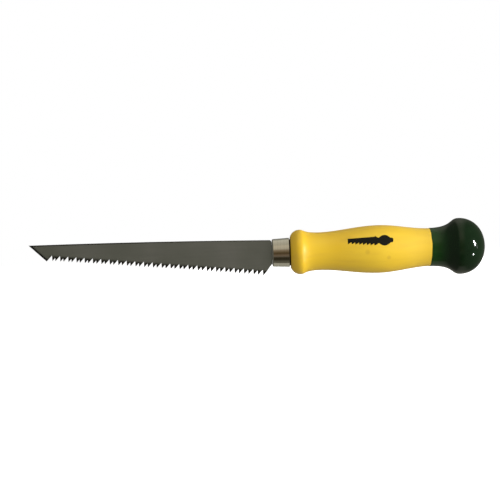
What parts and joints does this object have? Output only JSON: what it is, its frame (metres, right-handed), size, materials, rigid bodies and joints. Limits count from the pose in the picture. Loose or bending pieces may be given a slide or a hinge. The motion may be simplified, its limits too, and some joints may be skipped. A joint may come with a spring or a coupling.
{
  "type": "drywall jab saw",
  "caption": "Drywall jab saw: a tapered steel blade with a slanted ground point and coarse teeth, bonded through a plated ferrule into a turned wooden handle with a dipped knob end.",
  "frame": {"origin": "on the handle's axis, where the grip is fattest", "axes": "+X along the handle's axis from the blade's point to the butt, +Z from the teeth to the spine, and the blade lies in the XZ plane"},
  "size_m": [0.2844, 0.035, 0.035],
  "materials": {
    "blade_steel": "dark satin rolled steel with ground tooth bevels",
    "plated_steel": "bright nickel plate with fine turning lines",
    "yellow_lacquered_wood": "hardwood under glossy yellow lacquer",
    "green_dip": "thick glossy dark green dip paint",
    "resin": "cured amber epoxy resin"
  },
  "bodies": {
    "root": {"blade": "blade_steel", "ferrule": "plated_steel", "handle": "yellow_lacquered_wood", "butt_dip_coat": "green_dip", "tang_adhesive": "resin"}
  },
  "joints": []
}
